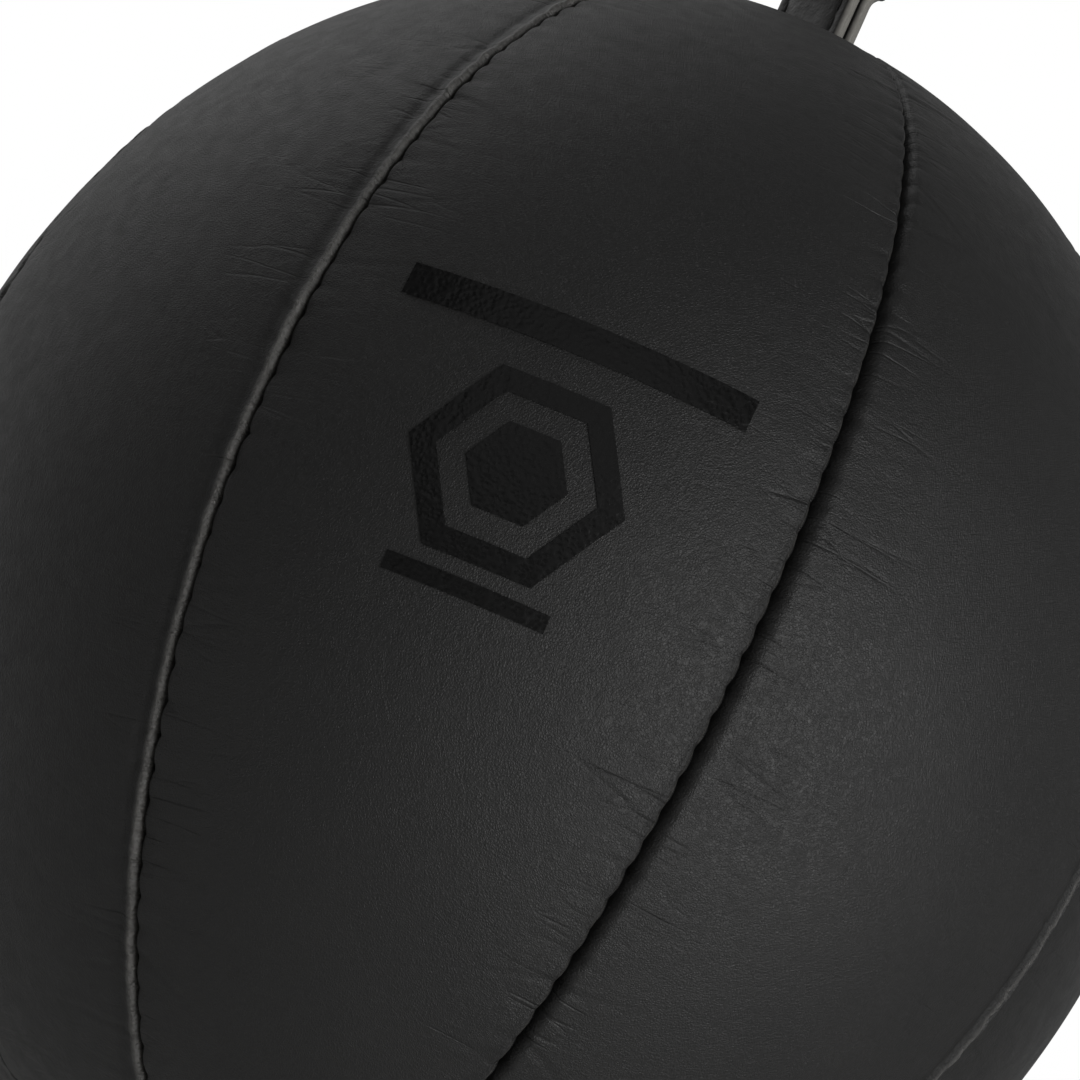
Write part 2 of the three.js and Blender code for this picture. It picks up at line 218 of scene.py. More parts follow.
def bead(along, edge, seam):
    """The edge that stands up beside a seam as a lumpy ridge, with a hollow next to it."""
    lump = 1 + 0.45 * smooth_noise(along / 3.1, np.full_like(along, seam * 4.3), 13)
    ridge = 0.46 * lump * np.exp(-(((edge - 0.85) / 0.85) ** 2))
    hollow = 0.22 * np.exp(-(((edge - 2.9) / 0.9) ** 2))
    return (ridge - hollow) * (1.0 if stands_up(seam) else 0.15)


def stands_up(seam):
    """Every other seam has a raised bead, coloured lighter for wear and a painted highlight. The others sink
    into a wide dark valley.
    """
    return seam % 2 == 1


def hide_relief(along, left, right, panel):
    """Height of a panel's surface above the ball, from the distances to its left and right seams."""
    half_length = MERIDIAN.where_radius(TIP_RADIUS)
    height = seam_profile(left) + seam_profile(right)
    height += bead(along, right, panel) * stitched_share(along, panel)
    # Seam s lies between panel s and panel s + 1.
    for side, (edge, seam) in enumerate([(left, (panel - 1) % PANELS), (right, panel)]):
        height += stitch_relief(along, edge, seam) * stitched_share(along, seam)
        height += gathered_relief(along, edge, seam + 0.5 * side)
        height += Creases(100 + 2 * panel + side, half_length).relief(along, edge)
    swell = smooth_noise(along / 34 + panel * 3, left / 30 + panel, 31)
    ripple = smooth_noise(along / 13 + panel * 5, left / 12 + panel, 32)
    return height + 0.22 * swell + 0.05 * ripple


SLIT_LOW = MERIDIAN.where_height(SLIT_CENTRE_Z) - LACE_BARS * LACE_PITCH / 2
SLIT_HIGH = SLIT_LOW + LACE_BARS * LACE_PITCH
SLIT_SEAM = 3  # the seam between the fourth panel and the fifth


def slit_share(along, seam):
    """1 where the seam is the unsewn slit, falling to 0 at its ends."""
    if seam != SLIT_SEAM:
        return np.zeros_like(along)
    return np.clip(np.minimum(along - SLIT_LOW, SLIT_HIGH - along) / 6, 0, 1)


def stitched_share(along, seam):
    return 1 - slit_share(along, seam)


def bar_places():
    middle = (LACE_BARS - 1) / 2
    return [MERIDIAN.where_height(SLIT_CENTRE_Z + (i - middle) * LACE_PITCH) for i in range(LACE_BARS)]


def lace_dimples(along, edge):
    """The punched holes, with the leather drawn down round them by the lace."""
    height = np.zeros_like(along)
    for place in bar_places():
        distance = np.hypot(along - place, edge - LACE_REACH)
        height -= 0.35 * np.exp(-((distance / 4.2) ** 2))
        height -= 1.2 * (1 - np.tanh((distance - 1.45) / 0.32))
    return height


# ---------- meshes ----------
def mesh_object(name, points, faces, material, smooth=True, loose_faces=()):
    """A mesh from an array of points, an array of four-cornered faces and a few faces of other sizes."""
    mesh = bpy.data.meshes.new(name)
    quads = np.asarray(faces, np.int32).reshape(-1, 4)
    loops = np.concatenate([quads.ravel(), *[np.asarray(f, np.int32) for f in loose_faces]])
    sizes = np.concatenate([np.full(len(quads), 4), [len(f) for f in loose_faces]]).astype(np.int32)
    mesh.vertices.add(len(points))
    mesh.vertices.foreach_set("co", np.asarray(points, np.float32).ravel())
    mesh.loops.add(len(loops))
    mesh.loops.foreach_set("vertex_index", loops)
    mesh.polygons.add(len(sizes))
    starts = np.concatenate([[0], np.cumsum(sizes)[:-1]])
    mesh.polygons.foreach_set("loop_start", starts.astype(np.int32))
    mesh.polygons.foreach_set("use_smooth", np.full(len(sizes), smooth))
    mesh.update(calc_edges=True)
    mesh.validate()
    mesh.materials.append(material)
    obj = bpy.data.objects.new(name, mesh)
    bpy.context.scene.collection.objects.link(obj)
    return obj


def ring_faces(rings, corners, offset=0):
    """Four-cornered faces of a tube of rings whose points start at an offset, and its two end faces."""
    ring = np.arange(rings - 1)[:, None] * corners
    corner = np.arange(corners)[None, :]
    following = (corner + 1) % corners
    next_ring = ring + corners
    quads = np.stack([ring + corner, ring + following, next_ring + following, next_ring + corner], -1)
    ends = [
        list(range(offset + corners - 1, offset - 1, -1)),
        list(range(offset + (rings - 1) * corners, offset + rings * corners)),
    ]
    return quads.reshape(-1, 4) + offset, ends


def set_attribute(obj, name, values):
    """A vector for each point, which the material reads as its own coordinates."""
    attribute = obj.data.attributes.new(name, "FLOAT_VECTOR", "POINT")
    attribute.data.foreach_set("vector", np.asarray(values, np.float32).ravel())


def tube_points(path, radius, corners, flatten=1.0, up=None):
    """Rings of points round a path (in metres), with a radius that may change along it."""
    path = np.asarray(path, float)
    tangent = np.gradient(path, axis=0)
    tangent /= np.linalg.norm(tangent, axis=1, keepdims=True)
    side = np.cross(tangent, up if up is not None else path)
    side /= np.linalg.norm(side, axis=1, keepdims=True)
    lift = np.cross(side, tangent)
    angle = np.linspace(0, 2 * math.pi, corners, endpoint=False)
    radius = np.broadcast_to(radius, len(path))[:, None, None]
    across = np.cos(angle)[None, :, None] * side[:, None, :]
    above = flatten * np.sin(angle)[None, :, None] * lift[:, None, :]
    return (path[:, None, :] + radius * (across + above)).reshape(-1, 3)


# ---------- materials ----------
class Shader:
    """A small helper that adds nodes to one material."""

    def __init__(self, name, **values):
        self.material = bpy.data.materials.new(name)
        self.material.use_nodes = True
        self.tree = self.material.node_tree
        self.surface = self.tree.nodes["Principled BSDF"]
        for socket, value in values.items():
            self.surface.inputs[socket.replace("_", " ")].default_value = value

    def node(self, kind, inputs=None, **properties):
        node = self.tree.nodes.new(kind)
        for key, value in properties.items():
            setattr(node, key, value)
        for key, value in (inputs or {}).items():
            if isinstance(value, bpy.types.NodeSocket):
                self.tree.links.new(value, node.inputs[key])
            else:
                node.inputs[key].default_value = value
        return node

    def math(self, operation, a, b=0.0, clamp=False):
        node = self.node("ShaderNodeMath", {0: a, 1: b}, operation=operation, use_clamp=clamp)
        return node.outputs[0]

    def coordinates(self, attribute, scale, offset=(0, 0, 0)):
        source = self.node("ShaderNodeAttribute", attribute_name=attribute).outputs["Vector"]
        mapping = self.node("ShaderNodeMapping", {"Vector": source, "Scale": scale, "Location": offset})
        return mapping.outputs["Vector"]

    def warped(self, attribute, scale, amount):
        """The same coordinates pushed about by noise, so that cells and lines in them look grown."""
        straight = self.coordinates(attribute, scale)
        noise = self.node("ShaderNodeTexNoise", {"Vector": straight, "Scale": 1.6, "Detail": 2.0})
        inputs = {0: noise.outputs["Color"], 1: (amount, amount, 0), 2: straight}
        return self.node("ShaderNodeVectorMath", inputs, operation="MULTIPLY_ADD").outputs[0]

    def position(self, scale):
        source = self.node("ShaderNodeTexCoord").outputs["Object"]
        return self.node("ShaderNodeMapping", {"Vector": source, "Scale": (scale,) * 3}).outputs["Vector"]

    def noise(self, vector, scale=1.0, detail=2.0, roughness=0.5, distortion=0.0):
        inputs = {"Vector": vector, "Scale": scale, "Detail": detail}
        inputs.update({"Roughness": roughness, "Distortion": distortion})
        return self.node("ShaderNodeTexNoise", inputs).outputs["Fac"]

    def voronoi(self, vector, scale=1.0, feature="F1", randomness=1.0):
        inputs = {"Vector": vector, "Scale": scale, "Randomness": randomness}
        return self.node("ShaderNodeTexVoronoi", inputs, feature=feature).outputs["Distance"]

    def between(self, value, low, high, to_low=0.0, to_high=1.0):
        """The value's way from low to high, cut off at both ends, as a way from to_low to to_high."""
        inputs = {"Value": value, "From Min": low, "From Max": high, "To Min": to_low, "To Max": to_high}
        return self.node("ShaderNodeMapRange", inputs).outputs["Result"]

    def bump(self, *heights):
        """Heights in millimetres, added up."""
        total = heights[0]
        for height in heights[1:]:
            total = self.math("ADD", total, height)
        bump = self.node("ShaderNodeBump", {"Height": total, "Strength": 1.0, "Distance": MM})
        self.tree.links.new(bump.outputs["Normal"], self.surface.inputs["Normal"])

    def mix(self, factor, low, high):
        """Between two colours, each a triple or another node's output."""
        node = self.node("ShaderNodeMix", data_type="RGBA")
        self.tree.links.new(factor, node.inputs[0])
        for socket, value in ((node.inputs[6], low), (node.inputs[7], high)):
            if isinstance(value, bpy.types.NodeSocket):
                self.tree.links.new(value, socket)
            else:
                socket.default_value = (*value, 1)
        return node.outputs[2]

    def base(self, colour):
        self.tree.links.new(colour, self.surface.inputs["Base Color"])

    def colour(self, factor, low, high):
        self.base(self.mix(factor, low, high))

    def roughness(self, value):
        self.link(value, "Roughness")

    def link(self, value, socket):
        self.tree.links.new(value, self.surface.inputs[socket])


DRAWN_GRAIN = (0.55, 0.42, 0), (7, 3, 0)  # scale and offset of the leather's soft waves


def panel_leather():
    """Thin black hide: a fine pebbled grain, wrinkles, and creases that run in from the seams.

    The hide's coordinates are across the panel, along it, and the distance to the nearest seam.
    """
    shader = Shader("panel_leather", IOR=1.45)
    skin = shader.coordinates("hide", (1, 1, 0))
    edge = shader.node("ShaderNodeSeparateXYZ", {0: shader.coordinates("hide", (1, 1, 1))}).outputs["Z"]
    near_seam = shader.between(edge, 2, 22, 1.0, 0.05)
    stretched = shader.coordinates("hide", (0.30, 1.0, 0))
    wrinkles = shader.noise(stretched, detail=3, roughness=0.6, distortion=0.8)
    oblique = shader.noise(shader.coordinates("hide", *DRAWN_GRAIN), detail=4, roughness=0.6)
    pebbles = shader.voronoi(shader.warped("hide", (2.6, 2.6, 0), 0.5), feature="DISTANCE_TO_EDGE")
    pores = shader.voronoi(skin, 0.9)
    folds = shader.voronoi(shader.warped("hide", (0.045, 0.33, 0), 0.40), feature="DISTANCE_TO_EDGE")
    patches = shader.noise(shader.coordinates("hide", (0.06, 0.09, 0), (3, 9, 0)), detail=2)
    creased = shader.math("MULTIPLY", near_seam, shader.between(patches, 0.50, 0.64))
    crease = shader.math("MULTIPLY", shader.between(folds, 0, 0.07, -0.18, 0.0), creased)
    fibres = shader.noise(skin, 1.6, detail=4, roughness=0.65)
    shader.bump(
        shader.math("MULTIPLY", shader.math("MULTIPLY", wrinkles, near_seam), 0.11),
        shader.math("MULTIPLY", oblique, 0.10),
        shader.between(pebbles, 0, 0.28, -0.045, 0.0),
        shader.math("MULTIPLY", fibres, shader.between(edge, 1.0, 2.6, 0.45, 0.08)),
        shader.math("MULTIPLY", pores, 0.012),
        crease,
    )
    mottle = shader.noise(shader.coordinates("hide", (0.045, 0.045, 0)), detail=4)
    body = shader.mix(mottle, (0.0105, 0.0105, 0.0107), (0.0160, 0.0158, 0.0153))
    # Near a raised seam edge the leather turns lighter and greyer: partly wear, partly a painted highlight
    # on the bead.
    wear_and_painted_highlight = shader.between(edge, 1.1, 1.7, 1.0, 0.0)
    unevenness = shader.math("MULTIPLY", wear_and_painted_highlight, shader.between(fibres, 0.35, 0.7, 0.35, 1.0))
    # This lighter bead colour stands for wear and for a painted highlight.
    shader.base(shader.mix(unevenness, body, (0.088, 0.085, 0.079)))
    gloss = shader.noise(shader.coordinates("hide", (0.3, 0.3, 0)), detail=3)
    satin = shader.between(gloss, 0.3, 0.7, 0.42, 0.52)
    shader.roughness(shader.math("SUBTRACT", satin, shader.math("MULTIPLY", wear_and_painted_highlight, 0.15)))
    shader.link(shader.between(wear_and_painted_highlight, 0, 1, 0.5, 0.8), "Specular IOR Level")
    return shader.material


def strap_leather():
    """Firmer, smoother leather than the panels', with greyish sealed edges, lighter partly for their own
    colour and partly as a painted highlight.
    """
    shader = Shader("strap_leather", IOR=1.5)
    skin = shader.coordinates("strap", (1, 1, 0))
    grain = shader.voronoi(skin, 1.5, randomness=0.9)
    drawn = shader.noise(shader.coordinates("strap", (0.5, 0.35, 0)), detail=4)
    fibres = shader.noise(shader.coordinates("strap", (3.0, 0.5, 0)), detail=5, roughness=0.7)
    sealed_edge_and_highlight = shader.node("ShaderNodeSeparateXYZ", {0: shader.coordinates("strap", (1, 1, 1))}).outputs["Z"]
    shader.bump(
        shader.math("MULTIPLY", grain, 0.035),
        shader.math("MULTIPLY", drawn, 0.12),
        shader.math("MULTIPLY", shader.math("MULTIPLY", fibres, sealed_edge_and_highlight), 0.10),
    )
    face = shader.mix(drawn, (0.012, 0.012, 0.012), (0.022, 0.021, 0.020))
    # The sealed edges' light grey is partly their own colour, partly a painted highlight.
    edge = shader.mix(fibres, (0.14, 0.134, 0.122), (0.40, 0.388, 0.353))
    shader.base(shader.mix(sealed_edge_and_highlight, face, edge))
    shader.roughness(shader.between(drawn, 0.3, 0.7, 0.38, 0.5))
    return shader.material


def thread_material(name, light=0.02):
    """Waxed twisted thread: plies that wind round it."""
    shader = Shader(name, IOR=1.5)
    winding = shader.coordinates("strand", (1, 2.2, 0))
    inputs = {"Vector": winding, "Scale": 1.0, "Distortion": 0.4}
    twist = shader.node("ShaderNodeTexWave", inputs, bands_direction="DIAGONAL").outputs["Fac"]
    shader.bump(shader.math("MULTIPLY", twist, 0.10))
    shader.colour(twist, (light * 0.35,) * 3, (light,) * 3)
    shader.roughness(shader.between(twist, 0, 1, 0.55, 0.4))
    return shader.material


def braid_material():
    """Round braided lace: two sets of strands that cross in diamonds."""
    shader = Shader("lace_braid", IOR=1.45, Sheen_Weight=0.15)
    heights = []
    for turn in (2.0, -2.0):
        strand = shader.node("ShaderNodeSeparateXYZ", {0: shader.coordinates("strand", (turn, 1.35, 0))})
        phase = shader.math("ADD", strand.outputs["X"], strand.outputs["Y"])
        wave = shader.math("SINE", shader.math("MULTIPLY", phase, math.pi))
        heights.append(shader.math("ABSOLUTE", wave))
    weave = shader.math("MAXIMUM", *heights)
    shader.bump(shader.math("MULTIPLY", weave, 0.14))
    shader.colour(weave, (0.006, 0.006, 0.006), (0.028, 0.028, 0.029))
    shader.roughness(shader.between(weave, 0, 1, 0.8, 0.6))
    return shader.material


def print_material():
    """A thin glossy print, which the grain of the leather still shows through."""
    shader = Shader("emblem_print", IOR=1.5, Specular_IOR_Level=0.3)
    skin = shader.coordinates("hide", (1, 1, 0))
    pebbles = shader.voronoi(skin, 1.3)
    drawn = shader.noise(shader.coordinates("hide", *DRAWN_GRAIN), detail=4, roughness=0.6)
    shader.bump(shader.math("MULTIPLY", pebbles, 0.07), shader.math("MULTIPLY", drawn, 0.12))
    shader.colour(drawn, (0.0035, 0.0035, 0.0035), (0.006, 0.006, 0.006))
    shader.roughness(shader.between(pebbles, 0.0, 0.9, 0.20, 0.32))
    return shader.material


def woven_lining():
    """Plain woven cloth with a dark coating."""
    shader = Shader("lining_cloth")
    inputs = {"Vector": shader.position(1 / MM), "Scale": 0.35}
    warp = shader.node("ShaderNodeTexWave", inputs, bands_direction="Z")
    weft = shader.node("ShaderNodeTexWave", inputs, bands_direction="X")
    weave = shader.math("MULTIPLY", warp.outputs["Fac"], weft.outputs["Fac"])
    shader.bump(shader.math("MULTIPLY", weave, 0.15))
    shader.colour(weave, (0.015, 0.015, 0.016), (0.045, 0.045, 0.048))
    shader.roughness(shader.between(weave, 0, 1, 0.95, 0.8))
    return shader.material


def rubber(name, low, high):
    """Smooth moulded rubber with a dusty bloom."""
    shader = Shader(name)
    bloom = shader.noise(shader.position(1 / MM), 0.08, detail=5)
    shader.bump(shader.math("MULTIPLY", shader.noise(shader.position(1 / MM), 1.2, detail=2), 0.03))
    shader.colour(bloom, (low,) * 3, (high,) * 3)
    shader.roughness(shader.between(bloom, 0.3, 0.7, 0.5, 0.75))
    return shader.material


def split_leather():
    """The rough flesh side of leather, for patches and the tongue."""
    shader = Shader("split_leather")
    nap = shader.noise(shader.position(1 / MM), 1.5, detail=6, roughness=0.7)
    shader.bump(shader.math("MULTIPLY", nap, 0.25))
    shader.colour(nap, (0.012, 0.011, 0.010), (0.045, 0.040, 0.036))
    shader.roughness(shader.between(nap, 0.3, 0.7, 0.8, 0.95))
    return shader.material


# ---------- panels ----------
def panel_columns():
    """Shares of the way from a seam to the panel's middle: close together near the seam."""
    fine = np.concatenate([np.arange(0, 4, 0.28), np.arange(4, 11, 0.6)])
    half = EQUATOR * math.pi / PANELS
    coarse = np.linspace(11, half, 21)
    return np.concatenate([fine, coarse]) / half


def roll_points(width, fall):
    """The edge's roll into the seam: how far each point is from the seam plane, and how deep."""
    turn = np.linspace(math.pi / 2, 0, 13)
    inset = width * (1 - np.cos(turn))
    depth = fall * (1 - np.sin(turn))
    return np.append(inset, 0.0), np.append(depth, ALLOWANCE_DEPTH)


def seam_distance_for_wear_and_highlight(left, right, panel):
    """Distance to the nearest seam, longer where the panel's edge lies too low to get the lighter bead
    colour, which is wear and a painted highlight.
    """
    return np.minimum(left + 2.0, right + (0.0 if stands_up(panel) else 1.0))


def half_panel(rows, half_width, seam, edge_size):
    """Distance from the seam and depth of each point, from the allowance's end to the panel's middle."""
    roll_inset, roll_depth = roll_points(*edge_size)
    share = panel_columns()
    near_tip = np.clip(half_width / 6, 0, 1)[:, None]
    slimmer = near_tip * (0.35 + 0.65 * half_width / half_width.max())[:, None]
    inmost = roll_inset[0] * slimmer
    flat = inmost + share[None, :] * (half_width[:, None] - inmost)
    rolled = roll_inset[::-1][None, :-1] * slimmer
    inset = np.concatenate([rolled, flat], 1)
    depth = np.concatenate([roll_depth[::-1][:-1], np.zeros(len(share))])[None, :] * near_tip
    # The seam stands open along the slit, and a little at every stitch.
    puff, tightness = stitch_puff(rows, seam)
    gap = 0.08 + 0.9 * slit_share(rows, seam) + 0.30 * tightness * (1 - puff)
    fade = np.clip(1 - inset / half_width[:, None], 0, 1)
    return inset + gap[:, None] * fade, depth


def outer_columns(rows, half_width, number):
    """Distances of the outer side's points to the left seam and to the right, and their depths."""
    left_edge = TIGHT_EDGE if number % 2 == 0 else WIDE_EDGE
    left_inset, left_depth = half_panel(rows, half_width, (number - 1) % PANELS, left_edge)
    right_inset, right_depth = half_panel(rows, half_width, number, BEAD_EDGE)
    width = 2 * half_width[:, None]
    left = np.concatenate([left_inset, (width - right_inset[:, ::-1])[:, 1:]], 1)
    depth = np.concatenate([left_depth, right_depth[:, ::-1][:, 1:]], 1)
    return left, width - left, depth


def panel_relief(along, left, right, number):
    """The leather's relief with the lace's holes, flat at the seams' bottoms and sunk at the tips."""
    relief = hide_relief(along, left, right, number)
    if number == SLIT_SEAM:
        relief += lace_dimples(along, right)
    if number == SLIT_SEAM + 1:
        relief += lace_dimples(along, left)
    relief *= np.clip(np.minimum(left, right) / 0.5 + 0.4, 0, 1)
    from_tip = MERIDIAN.where_radius(TIP_RADIUS) - np.abs(along)
    return relief * np.clip(from_tip / 6, 0, 1) - 1.8 * np.clip(1 - from_tip / 2.0, 0, 1) ** 2


def inner_columns(half_width):
    """Offsets from the panel's middle for the inner side, which lies on the lining and needs few points."""
    share = np.array([0.97, 0.6, 0.2, -0.2, -0.6, -0.97])
    half = np.maximum(half_width - LEATHER - 0.2, 0.45 * half_width)
    return share[None, :] * half[:, None]


def build_panel(number, leather):
    end = MERIDIAN.where_radius(TIP_RADIUS)
    rows = np.linspace(-end, end, PANEL_ROWS)
    radius, _, _ = MERIDIAN.at(rows)
    half_width = radius * math.pi / PANELS
    middle = FRONT + number * PANEL_ANGLE

    left, right, depth = outer_columns(rows, half_width, number)
    along = np.repeat(rows[:, None], left.shape[1], 1)
    offset = left - half_width[:, None]
    height = panel_relief(along, left, right, number) - depth
    outer = on_ball(along, middle + offset / radius[:, None], height)

    inner_offset = inner_columns(half_width)
    inner_along = np.repeat(rows[:, None], inner_offset.shape[1], 1)
    inner_depth = min(LEATHER + 0.15, LINING_DEPTH)
    inner = on_ball(inner_along, middle + inner_offset / radius[:, None], -inner_depth)

    corners = outer.shape[1] + inner.shape[1]
    rings = np.concatenate([outer, inner], 1).reshape(-1, 3)
    quads, ends = ring_faces(PANEL_ROWS, corners)
    panel = mesh_object(f"leather_panel_{number + 1}", rings, quads, leather, loose_faces=ends)
    outer_hide = np.stack([offset + GRAIN_SHIFT * number, along, seam_distance_for_wear_and_highlight(left, right, number)], -1)
    inner_hide = np.stack([inner_offset, inner_along, np.full_like(inner_along, FAR_FROM_SEAM)], -1)
    set_attribute(panel, "hide", np.concatenate([outer_hide, inner_hide], 1))
    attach(panel, "ball")
    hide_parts(f"panel_{number + 1}")


# ---------- seam threads ----------
def set_strand(obj, along, corners):
    """The material's coordinates on a tube: once round it, and millimetres along it."""
    turn = np.arange(corners) / corners
    strand = np.zeros((len(along), corners, 3))
    strand[:, :, 0] = turn[None, :]
    strand[:, :, 1] = np.asarray(along)[:, None]
    set_attribute(obj, "strand", strand)


def build_seam_thread(name, seam, low, high, material):
    """A lockstitch down in the seam: it comes up in the middle of each stitch and dives at its ends."""
    corners = 8
    along = np.arange(low, high, 0.3)
    depth = 2.1 + 1.1 * np.abs(np.cos(math.pi * (along / STITCH + seam * 0.37))) ** 3
    angle = np.full_like(along, FRONT + (seam + 0.5) * PANEL_ANGLE)
    points = tube_points(on_ball(along, angle, -depth), 0.34 * MM, corners)
    quads, ends = ring_faces(len(along), corners)
    new_name = name.replace("seam_thread", "seam_stitching")
    thread = mesh_object(new_name, points, quads, material, loose_faces=ends)
    set_strand(thread, along, corners)
    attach(thread, "ball")
    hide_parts(name)


def build_seam_threads(material):
    end = MERIDIAN.where_radius(12)
    for seam in range(PANELS):
        if seam == SLIT_SEAM:
            build_seam_thread("seam_thread_4_lower", seam, -end, SLIT_LOW - 1, material)
            build_seam_thread("seam_thread_4_upper", seam, SLIT_HIGH + 1, end, material)
        else:
            build_seam_thread(f"seam_thread_{seam + 1}", seam, -end, end, material)


# ---------- lace ----------
def smooth_path(points, step):
    """A smooth curve through the points, with evenly spaced samples."""
    points = np.asarray(points, float)
    chord = np.sqrt(np.linalg.norm(np.diff(points, axis=0), axis=1))
    knots = np.concatenate([[0], np.cumsum(chord)])
    slopes = np.gradient(points, knots, axis=0)
    pieces = []
    for i in range(len(points) - 1):
        span = knots[i + 1] - knots[i]
        t = np.linspace(0, 1, 40, endpoint=i == len(points) - 2)[:, None]
        a, b = points[i], points[i + 1]
        ma, mb = slopes[i] * span, slopes[i + 1] * span
        pieces.append(
            (2 * t**3 - 3 * t**2 + 1) * a + (t**3 - 2 * t**2 + t) * ma
            + (3 * t**2 - 2 * t**3) * b + (t**3 - t**2) * mb
        )
    dense = np.concatenate(pieces)
    length = np.concatenate([[0], np.cumsum(np.linalg.norm(np.diff(dense, axis=0), axis=1))])
    even = np.arange(0, length[-1], step)
    return np.stack([np.interp(even, length, dense[:, k]) for k in range(3)], -1), even


def lace_route():
    """Along, across and depth of the lace's turning points.

    It crosses the slit outside at every pair of holes, and runs on inside along one edge to the next pair.
    """
    inner, reach, tail = 5.0, LACE_REACH, 9.6
    rise = [  # along, across and depth from a hole's inside towards the middle of the bar
        (-2, reach, inner),
        (0, reach, 4.0),
        (0, reach, 1.0),
        (0, reach - 0.6, -0.35),
        (0, reach - 2.4, -0.95),
    ]
    bars = bar_places()
    route = [(bars[0] - tail, -reach, inner)]
    for i, place in enumerate(bars):
        side = -1 if i % 2 == 0 else 1
        route += [(place + along, side * across, depth) for along, across, depth in rise]
        route += [(place, 0, -0.75)]
        route += [(place - along, -side * across, depth) for along, across, depth in rise[::-1]]
    return route + [(bars[-1] + tail, reach, inner)]


def build_lace(material):
    corners = 20
    along, across, depth = np.array(lace_route(), float).T
    radius, _, _ = MERIDIAN.at(along)
    path, length = smooth_path(on_ball(along, SLIT_AZIMUTH + across / radius, -depth), 0.18 * MM)
    thickness = 1.25 * MM * (1 + 0.025 * np.sin(length / MM * 2.4))
    points = tube_points(path, thickness, corners, flatten=0.86)
    quads, ends = ring_faces(len(path), corners)
    lace = mesh_object("braided_lace", points, quads, material, loose_faces=ends)
    set_strand(lace, length / MM, corners)
    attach(lace, "ball")
    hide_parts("lace")


# ---------- straps ----------
def bezier(points, count):
    t = np.linspace(0, 1, count)[:, None]
    level = [np.asarray(p, float)[None, :] for p in points]
    while len(level) > 1:
        level = [(1 - t) * a + t * b for a, b in zip(level, level[1:])]
    return level[0]


def strap_half():
    """Half of the strap's curve as (y, z): from the tab under the lining, out at the pole, to the crown."""
    leg = 0.15 + STRAP_THICKNESS / 2
    side = LOOP_HALF_THICKNESS - STRAP_THICKNESS / 2
    crown = LOOP_HEIGHT - STRAP_THICKNESS / 2
    tab_depth = 3.3 + STRAP_THICKNESS / 2
    edge_square = 76  # the square of the strap's half width, where the ball falls away under it
    tab = [
        (y, POLE * math.sqrt(1 - ((y * y + edge_square) / EQUATOR**2)) - tab_depth - HINGE)
        for y in (15.5, 5.5)
    ]
    low = tab[1][1]
    bend = bezier([tab[1], (leg + 0.6, low + 0.1), (leg, low + 1.2), (leg, low + 4)], 14)
    half_way = LEG_HEIGHT + 5
    shoulder = bezier([(leg, LEG_HEIGHT), (leg, half_way), (side, half_way), (side, EYE_SHOULDER)], 26)
    corner = bezier([(side, crown - CROWN_CORNER), (side, crown), (CROWN_HALF, crown)], 18)
    runs = [
        bezier(tab, 16), bend, bezier([bend[-1], (leg, LEG_HEIGHT)], 34), shoulder,
        bezier([shoulder[-1], corner[0]], 14), corner, bezier([(CROWN_HALF, crown), (0, crown)], 8),
    ]
    return np.concatenate([run[:-1] for run in runs] + [runs[-1][-1:]])


def strap_run():
    """The whole strap's centreline and outward normals, in the plane x = 0, and the length along it."""
    half = strap_half()
    other = half[::-1][1:] * (-1, 1)
    line = np.concatenate([half, other])
    tangent = np.gradient(line, axis=0)
    tangent /= np.linalg.norm(tangent, axis=1, keepdims=True)
    normal = np.stack([tangent[:, 1], -tangent[:, 0]], -1)
    length = np.concatenate([[0], np.cumsum(np.linalg.norm(np.diff(line, axis=0), axis=1))])
    return line, normal, length


def strap_profile():
    """Once round the strap's section: across, height, and how much each point is a sealed edge, coloured
    lighter partly for its own colour and partly as a painted highlight.
    """
    half_width, half_depth = STRAP_WIDTH / 2, STRAP_THICKNESS / 2
    groove = half_width - GROOVE_INSET
    across = np.array([-groove - 0.55, -groove - 0.2, -groove, -groove + 0.2, -groove + 0.55])
    dip = np.array([0, 0.16, 0.26, 0.16, 0])
    flat = np.concatenate([across, [-3.2, 0, 3.2], -across[::-1]])
    height = half_depth - np.concatenate([dip, [0, 0, 0], dip])
    turn = np.linspace(math.pi / 2, -math.pi / 2, 11)[1:-1]
    rim_across = half_width - half_depth + half_depth * np.cos(turn)
    rim_height = half_depth * np.sin(turn)
    # Weight of the sealed edge's lighter colour, partly a painted highlight.
    sealed_edge_and_highlight = np.clip(1.4 * np.cos(turn) - 0.45, 0, 1)
    zero = np.zeros(len(flat))
    return np.stack([
        np.concatenate([flat, rim_across, flat[::-1], -rim_across[::-1]]),
        np.concatenate([height, rim_height, -height[::-1], rim_height[::-1]]),
        np.concatenate([zero, sealed_edge_and_highlight, zero, sealed_edge_and_highlight[::-1]]),
    ], -1)


def end_place(points, end):
    """Points (x, y, z from the hinge) in millimetres, put at the top or turned over for the bottom."""
    placed = np.array(points, float)
    placed[..., 2] += HINGE
    if end == "bottom":
        placed[..., 1:] *= -1
    return placed * MM


def bend_at_hinge(obj):
    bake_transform(obj)


